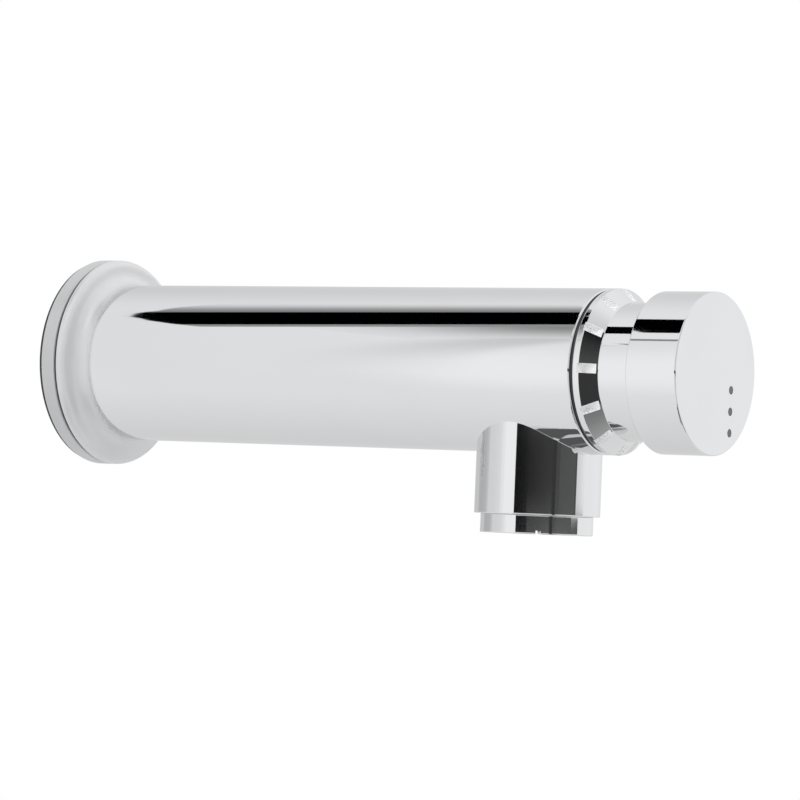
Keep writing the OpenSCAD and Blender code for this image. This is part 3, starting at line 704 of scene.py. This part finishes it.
def make_aerator_ring():
    thread_r = AERATOR_SOCKET_R - AERATOR_THREAD_FIT
    lip_z = COLLAR_END_Z + AERATOR_LIP_T
    piece = turned("aerator_ring_polished", [
        (AERATOR_BORE_R, RING_TOP_Z, 0), (thread_r, RING_TOP_Z, 0), (thread_r, SPOUT_END_Z, 0),
        (COLLAR_R, SPOUT_END_Z, COLLAR_EDGE), (COLLAR_R, COLLAR_END_Z, COLLAR_END_ROUND),
        (AERATOR_LIP_R, COLLAR_END_Z, COLLAR_EDGE), (AERATOR_LIP_R, lip_z, 0), (AERATOR_BORE_R, lip_z, 0),
    ], on_spout)
    for k in range(KEYS):
        spin = Matrix.Rotation(KEY_TURN + math.tau * k / KEYS, 4, "Z")
        turn = Matrix.Translation((0, SPOUT_Y, 0)) @ spin
        low = (AERATOR_LIP_R - PAST, -KEY_W / 2, COLLAR_END_Z - PAST)
        high = (COLLAR_R + PAST, KEY_W / 2, COLLAR_END_Z + KEY_DEPTH)
        combine(piece, box_tool(low, high, turn), "DIFFERENCE")
    return dress(piece, "aerator_ring", "chrome")


make_aerator_ring()

# Inlet nipple: round-crested pipe thread on the tail, hexagon behind the wall ring

THREAD_PITCH = 1.814 * MM
THREAD_DEPTH = 1.16 * MM
THREAD_ROWS = 120
HEX_FLATS = 24 * MM
HEX_FROM, HEX_TO = 0.4 * MM, 5.3 * MM
HEX_CHAMFER = 1.1 * MM
HEX_FACE_SETBACK = 0.2 * MM
SLIVER = 0.01 * MM
NIPPLE_STEPS = 96


def make_nipple():
    tail, head = rear_of("inlet_nipple"), front_of("inlet_nipple")
    thread = HEX_FROM - tail - 1 * MM
    rows = [tail + 0.5 * MM + thread * k / THREAD_ROWS for k in range(THREAD_ROWS + 1)]
    corners = [(WATERWAY_R, tail, EDGE), (THREAD_R - THREAD_DEPTH, tail, 0)]
    corners += [(THREAD_R, s, 0) for s in rows]
    corners += [(THREAD_R, head, EDGE), (WATERWAY_R, head, 0)]
    piece = turned("inlet_nipple_threaded", corners, steps=NIPPLE_STEPS)
    first, last = rows[0], rows[-1]
    for vertex in piece.data.vertices:
        s = -vertex.co.y
        r = math.hypot(vertex.co.x, vertex.co.z)
        if r < THREAD_R - 0.05 * MM or s > last + 1e-7:
            continue
        turns = s / THREAD_PITCH - math.atan2(vertex.co.z, vertex.co.x) / math.tau
        groove = (1 + math.cos(math.tau * turns)) / 2
        run_in = min(1, (s - first) / THREAD_PITCH, (last - s) / (2 * THREAD_PITCH))
        run_out = THREAD_DEPTH * max(0, 1 - (s - first) / THREAD_PITCH) * 0.8
        depth = max(groove * THREAD_DEPTH * max(run_in, 0), run_out)
        vertex.co.x *= (r - depth) / r
        vertex.co.z *= (r - depth) / r
    nothing_selected()
    corner_r = HEX_FLATS / 2 / math.cos(math.pi / 6)
    middle = Vector((0, -(HEX_FROM + HEX_TO) / 2, 0))
    bpy.ops.mesh.primitive_cylinder_add(vertices=6, radius=corner_r, depth=HEX_TO - HEX_FROM)
    tool = bpy.context.object
    tool.data.transform(Matrix.Translation(middle) @ Matrix.Rotation(math.pi / 2, 4, "X"))
    inner_r, face_r = WATERWAY_R + 1 * MM, HEX_FLATS / 2 - HEX_FACE_SETBACK
    chamfered = turned("hex_chamfer", [
        (inner_r, HEX_FROM - SLIVER, 0), (face_r, HEX_FROM - SLIVER, 0),
        (corner_r, HEX_FROM + HEX_CHAMFER, 0), (corner_r, HEX_TO + SLIVER, 0), (inner_r, HEX_TO + SLIVER, 0),
    ], steps=NIPPLE_STEPS)
    combine(tool, chamfered, "INTERSECT")
    combine(piece, tool, "UNION")
    return dress(piece, "inlet_nipple", "brass")


make_nipple()

# Camera, set where the photograph was taken from

CAMERA_AZIMUTH = math.radians(-56.69)
CAMERA_ELEVATION = math.radians(-1.5)
CAMERA_ROLL = math.radians(2.4)
FOCAL_PX = 4016.3
IMAGE_PX = 800
AIM_RIGHT, AIM_UP, CAMERA_DISTANCE = 77.71 * MM, -9.9 * MM, 1045.8 * MM


def place_camera():
    a, e = CAMERA_AZIMUTH, CAMERA_ELEVATION
    back = Vector((math.sin(a) * math.cos(e), -math.cos(a) * math.cos(e), math.sin(e)))
    level = Vector((math.cos(a), math.sin(a), 0))
    raised = back.cross(level)
    right = math.cos(CAMERA_ROLL) * level + math.sin(CAMERA_ROLL) * raised
    up = math.cos(CAMERA_ROLL) * raised - math.sin(CAMERA_ROLL) * level
    data = bpy.data.cameras.new("camera")
    data.sensor_width = 36
    data.lens = data.sensor_width * FOCAL_PX / IMAGE_PX
    data.clip_start, data.clip_end = 0.01, 100
    camera = bpy.data.objects.new("camera", data)
    bpy.context.scene.collection.objects.link(camera)
    turn = Matrix((right, up, back)).transposed().to_4x4()
    place = AIM_RIGHT * right + AIM_UP * up + CAMERA_DISTANCE * back
    camera.matrix_world = Matrix.Translation(place) @ turn
    bpy.context.scene.camera = camera


place_camera()

# Studio: white surroundings, pale floor, soft lamps, and dark cards that only the polished metal shows


def stage_material(name):
    material = bpy.data.materials.new(name)
    material.use_nodes = True
    tree = material.node_tree
    tree.nodes.clear()
    at = Link(tree, tree.nodes.new("ShaderNodeTexCoord").outputs["Object"])
    output = tree.nodes.new("ShaderNodeOutputMaterial")
    return material, at, lambda link: tree.links.new(link.socket, output.inputs["Surface"])


def seen_directly(link):
    """1 for what the camera, a mirror or glass shows, and 0 for light that only falls on things."""
    path = {}
    for name in ("Is Camera Ray", "Is Glossy Ray", "Is Transmission Ray"):
        path[name] = link.node("LightPath", {}, {}, name)
    return path["Is Camera Ray"].maths(
        "MAXIMUM", path["Is Camera Ray"], path["Is Glossy Ray"].maths(
            "MAXIMUM", path["Is Glossy Ray"], path["Is Transmission Ray"]))


WORLD_FILL = 0.55
FLOOR_Z = -0.30
FLOOR_HALF = 1.4


def make_world():
    """White to the camera. The metal shows it a little shaded on the right, in front and behind the wall."""
    world = bpy.data.worlds.new("white_studio")
    world.use_nodes = True
    bpy.context.scene.world = world
    tree = world.node_tree
    background = tree.nodes["Background"]
    background.inputs["Color"].default_value = (1, 1, 1, 1)
    way = Link(tree, tree.nodes.new("ShaderNodeTexCoord").outputs["Generated"])
    to_wall = way.along((0, 1, 0))
    right = way.along((1, 0, 0)).between(-0.1, 0.8) * to_wall.between(-0.3, 0.5) * 0.22
    front = way.along((-0.643, -0.766, 0)).between(0.2, 0.6) * 0.2
    behind = to_wall.between(0.35, 0.95) * 0.2 + to_wall.between(0.93, 1.0) * 0.25
    mirrored = way.node("LightPath", {}, {}, "Is Glossy Ray")
    shown = 1 - mirrored * (right + front + behind)
    direct = seen_directly(way)
    strength = direct * shown + (1 - direct) * WORLD_FILL
    tree.links.new(strength.socket, background.inputs["Strength"])


def make_floor():
    """White to the camera apart from the shadow. What the metal shows of it is shaded towards the right."""
    nothing_selected()
    bpy.ops.mesh.primitive_plane_add(size=2 * FLOOR_HALF, location=(0, 0, FLOOR_Z))
    floor = bpy.context.object
    floor.name = "floor"
    material, at, show = stage_material("pale_floor")
    lit = at.node("BsdfDiffuse", {}, {"Color": grey(0.86)})
    mirrored = at.node("LightPath", {}, {}, "Is Glossy Ray")
    x = at.along((1, 0, 0))
    wall_side = 0.93 - x.between(-0.4, 0.4) * 0.18 - x.between(0.3, 0.9) * 0.03
    shade = 0.85 + at.along((0, 1, 0)).between(-0.12, 0.0) * (wall_side - 0.85)
    white = at.node("Emission", {}, {"Color": grey(1.0), "Strength": 1 - mirrored * (1 - shade)})
    above = at.node("MixShader", {}, {0: seen_directly(at) * 0.82 + mirrored * 0.18, 1: lit, 2: white})
    clear = at.node("BsdfTransparent")
    under = at.node("NewGeometry", {}, {}, "Backfacing")
    show(at.node("MixShader", {}, {0: under, 1: above, 2: clear}))
    floor.data.materials.append(material)


def reflected_only(card):
    card.visible_camera = False
    card.visible_diffuse = False
    card.visible_shadow = False
    card.visible_transmission = False
    card.visible_volume_scatter = False


def card(name, corners, shade):
    """A card that only shows in polished metal. The shade is a value, or a function of the coordinates."""
    nothing_selected()
    bpy.ops.mesh.primitive_circle_add(vertices=len(corners), fill_type="NGON")
    made = bpy.context.object
    made.name = name
    for vertex, corner in zip(made.data.vertices, corners):
        vertex.co = corner
    material, at, show = stage_material(name)
    strength = shade(at) if callable(shade) else shade
    show(at.node("Emission", {}, {"Color": (1, 1, 1, 1), "Strength": strength}))
    made.data.materials.append(material)
    reflected_only(made)


# Overhead strip, in a plane that leans over the tap towards the wall
STRIP_TILT = math.radians(73)
STRIP_FAR = 350 * MM
STRIP_OUT = Vector((-math.cos(STRIP_TILT), 0, math.sin(STRIP_TILT)))
STRIP_ACROSS = Vector((math.sin(STRIP_TILT), 0, math.cos(STRIP_TILT)))
STRIP_SLANT = -0.2935


def on_strip(y, across):
    return STRIP_OUT * STRIP_FAR + Vector((0, y * MM, 0)) + STRIP_ACROSS * across * MM


STRIP_LOW, STRIP_LEDGE, STRIP_HIGH = -64, -87, 68
STRIP_SOFT_LOW, STRIP_SOFT_HIGH = 160, 119
BUTTON_LINE_TONE = 0.3


def strip_cards():
    middle = 4.5 + 50 * -STRIP_SLANT
    low, ledge, high = STRIP_LOW, STRIP_LEDGE, STRIP_HIGH
    low_end, high_end = ledge - STRIP_SOFT_LOW, high + STRIP_SOFT_HIGH

    def row(y, across):
        return on_strip(y, middle + STRIP_SLANT * y + across)

    def soft_edges(at):
        """Black strip with a soft upper edge, a grey ledge and a fringe that fades out towards the wall."""
        across = at.along(STRIP_ACROSS - Vector((0, STRIP_SLANT, 0))) - middle * MM
        over = across.between((high - 1) * MM, (high + 1) * MM)
        under = 1 - across.between((low - 1) * MM, (low + 1) * MM)
        below = 1 - across.between((ledge - 1) * MM, (ledge + 1) * MM)
        fringe = 0.6 - at.along((0, 1, 0)).between(50 * MM, 165 * MM) * 0.6
        upper = 0.26 + across.between(high * MM, high_end * MM) * 0.6
        lower = 0.9 - fringe * across.between(low_end * MM, ledge * MM)
        return over * upper + under * (0.34 * (1 - below) + lower * below)

    card("tube_strip", [
        row(84, low_end), row(150, low_end), row(170, ledge), row(216, ledge), row(221, low),
        row(223, -54), row(225, -38), row(227.8, -24), row(229, 0), row(232.3, 14), row(231.3, 30),
        row(229.5, 58), row(226, 74), row(222.5, 84), row(221, 130), row(215, high_end), row(76, high_end),
        row(60, 130), row(43, high), row(43, ledge), row(57, -143), row(72, -198),
    ], soft_edges)
    card("button_strip", [
        on_strip(-60, -120), on_strip(31, -120), on_strip(31, -65), on_strip(43, -65), on_strip(43, 22),
        on_strip(-60, 22),
    ], 0.0)
    card("button_line", [
        on_strip(-60, -218), on_strip(60, -218), on_strip(60, -190), on_strip(-60, -190),
    ], BUTTON_LINE_TONE)


def horizon_card(name, turns, heights, distance, shade):
    """An upright card round the spout, from one turn of the horizon to another."""
    corners = []
    for side, level in ((0, 0), (1, 0), (1, 1), (0, 1)):
        a = math.radians(turns[side])
        corners.append(Vector((distance * math.sin(a), SPOUT_Y - distance * math.cos(a), heights[level])))
    card(name, corners, shade)


SPOUT_BAND = (
    (-107, 0.008), (-90, 0.012), (-74, 0.026), (-50, 0.042),
    (-27, 0.055), (-20, 0.095), (11, 0.11), (15, 0.07),
)
SPOUT_BAND_LOW, SPOUT_BAND_HIGH = -0.056, 0.024
COLLAR_BAND_HIGH, COLLAR_BAND_END = -0.0366, 33
COLLAR_BAND_TONE = 0.08
BAND_FAR = 1.3


def spout_band():
    """Dark band round the horizon that the spout shows, paler to the right and low in its middle."""

    def paler_below(tone, turn):
        glow = 0.05 if -80 < turn < -30 else 0.0
        return lambda at: tone + glow - at.along((0, 0, 1)).between(-0.046, -0.022) * glow

    for (first, shade), (last, next_shade) in zip(SPOUT_BAND, SPOUT_BAND[1:]):
        pieces = max(1, round((last - first) / 6))
        for k in range(pieces):
            turns = [first + (last - first) * j / pieces for j in (k, k + 1)]
            tone = shade + (next_shade - shade) * (k + 0.5) / pieces
            heights = (SPOUT_BAND_LOW, SPOUT_BAND_HIGH)
            horizon_card("spout_band", turns, heights, BAND_FAR, paler_below(tone, sum(turns) / 2))
    turns = (SPOUT_BAND[-1][0], COLLAR_BAND_END)
    horizon_card("collar_band", turns, (SPOUT_BAND_LOW, COLLAR_BAND_HIGH), BAND_FAR, COLLAR_BAND_TONE)


# First and last turn of each block, in degrees above level, with its tone at both
CHAMFER_BLOCKS = (
    (31, 1, 0.003, 0.085), (1, -29, 0.045, 0.045), (-29, -44, 0.20, 0.28), (-44, -60, 0.30, 0.42),
)
CHAMFER_R = (TUBE_R + NECK_R) / 2
CHAMFER_FAR = 0.33
CHAMFER_CARD_HALF = math.radians(3.5)
CHAMFER_STEPS = 14


def chamfer_cards():
    """Narrow cards, one for each block of the bonnet's chamfer, set where that block reflects."""
    eye = bpy.context.scene.camera.matrix_world.translation
    station = front_of("bonnet_gasket") + RIM_HEIGHT + (TUBE_R - NECK_R) / 2

    def shown_from(turn):
        a = math.radians(turn)
        out = Vector((-math.cos(a), 0, math.sin(a)))
        point = out * CHAMFER_R + Vector((0, -station, 0))
        normal = (out + Vector((0, -1, 0))).normalized()
        return point, (point - eye).normalized().reflect(normal)

    for first, last, tone, last_tone in CHAMFER_BLOCKS:
        one, other = [], []
        for k in range(CHAMFER_STEPS + 1):
            turn = first + (last - first) * k / CHAMFER_STEPS
            point, way = shown_from(turn)
            ahead = shown_from(turn + 1)[1] - shown_from(turn - 1)[1]
            aside = way.cross(ahead).normalized() * math.tan(CHAMFER_CARD_HALF)
            one.append(point + (way + aside) * CHAMFER_FAR)
            other.append(point + (way - aside) * CHAMFER_FAR)
        for k in range(CHAMFER_STEPS):
            shade = tone + (last_tone - tone) * k / (CHAMFER_STEPS - 1)
            card("chamfer_card", [one[k], one[k + 1], other[k + 1], other[k]], shade)


CORNER_TONE = 0.14
CORNER_CARDS = (
    ((-270, -32), (-90, -32), (-90, -195), (-176, -195), (-176, -262), (-270, -262)),
    ((-300, -262), (-50, -262), (60, -400), (60, -500), (-300, -500)),
)


def corner_cards():
    """Dark cards low in front, for the corner under the tube where the spout meets it."""
    for outline in CORNER_CARDS:
        corners = [Vector((x * MM, y * MM, FLOOR_Z + 0.01)) for x, y in outline]
        card("corner_card", corners, CORNER_TONE)


def side_card():
    """A bright patch on the left that the tube's front and the button show, with a soft shade high up."""
    x, rear, front, half = -0.27, 0.11, -0.08, 0.24

    def glow(at):
        height = at.along((0, 0, 1))
        y = at.along((0, 1, 0))
        level = 1 - height.maths("ABSOLUTE", height).between(0.03, 0.22)
        shade = height.between(-0.05, 0.24) * y.between(0.028, 0.05) * (1 - y.between(0.06, 0.108))
        return 0.93 + (1 - y.between(0.02, 0.1)) * level * 0.13 - shade * 0.2

    corners = [(front, -half), (rear, -half), (rear, half), (front, half)]
    card("side_card", [Vector((x, y, z)) for y, z in corners], glow)


LAMP_SIZE = 0.9
LAMP_AIM = (0, -0.08, 0)


def soft_lamp(name, place, power):
    data = bpy.data.lights.new(name, "AREA")
    data.shape = "DISK"
    data.size = LAMP_SIZE
    data.energy = power
    lamp = bpy.data.objects.new(name, data)
    bpy.context.scene.collection.objects.link(lamp)
    lamp.location = place
    lamp.rotation_euler = (Vector(LAMP_AIM) - Vector(place)).to_track_quat("-Z", "Y").to_euler()
    lamp.visible_glossy = False


make_world()
make_floor()
strip_cards()
spout_band()
chamfer_cards()
corner_cards()
side_card()
soft_lamp("key_lamp", (-0.9, -0.7, 1.3), 14)
soft_lamp("fill_lamp", (1.1, -0.5, 0.7), 6)
soft_lamp("rear_lamp", (0.1, 1.2, 0.8), 6)

bpy.context.scene.view_settings.view_transform = "Standard"
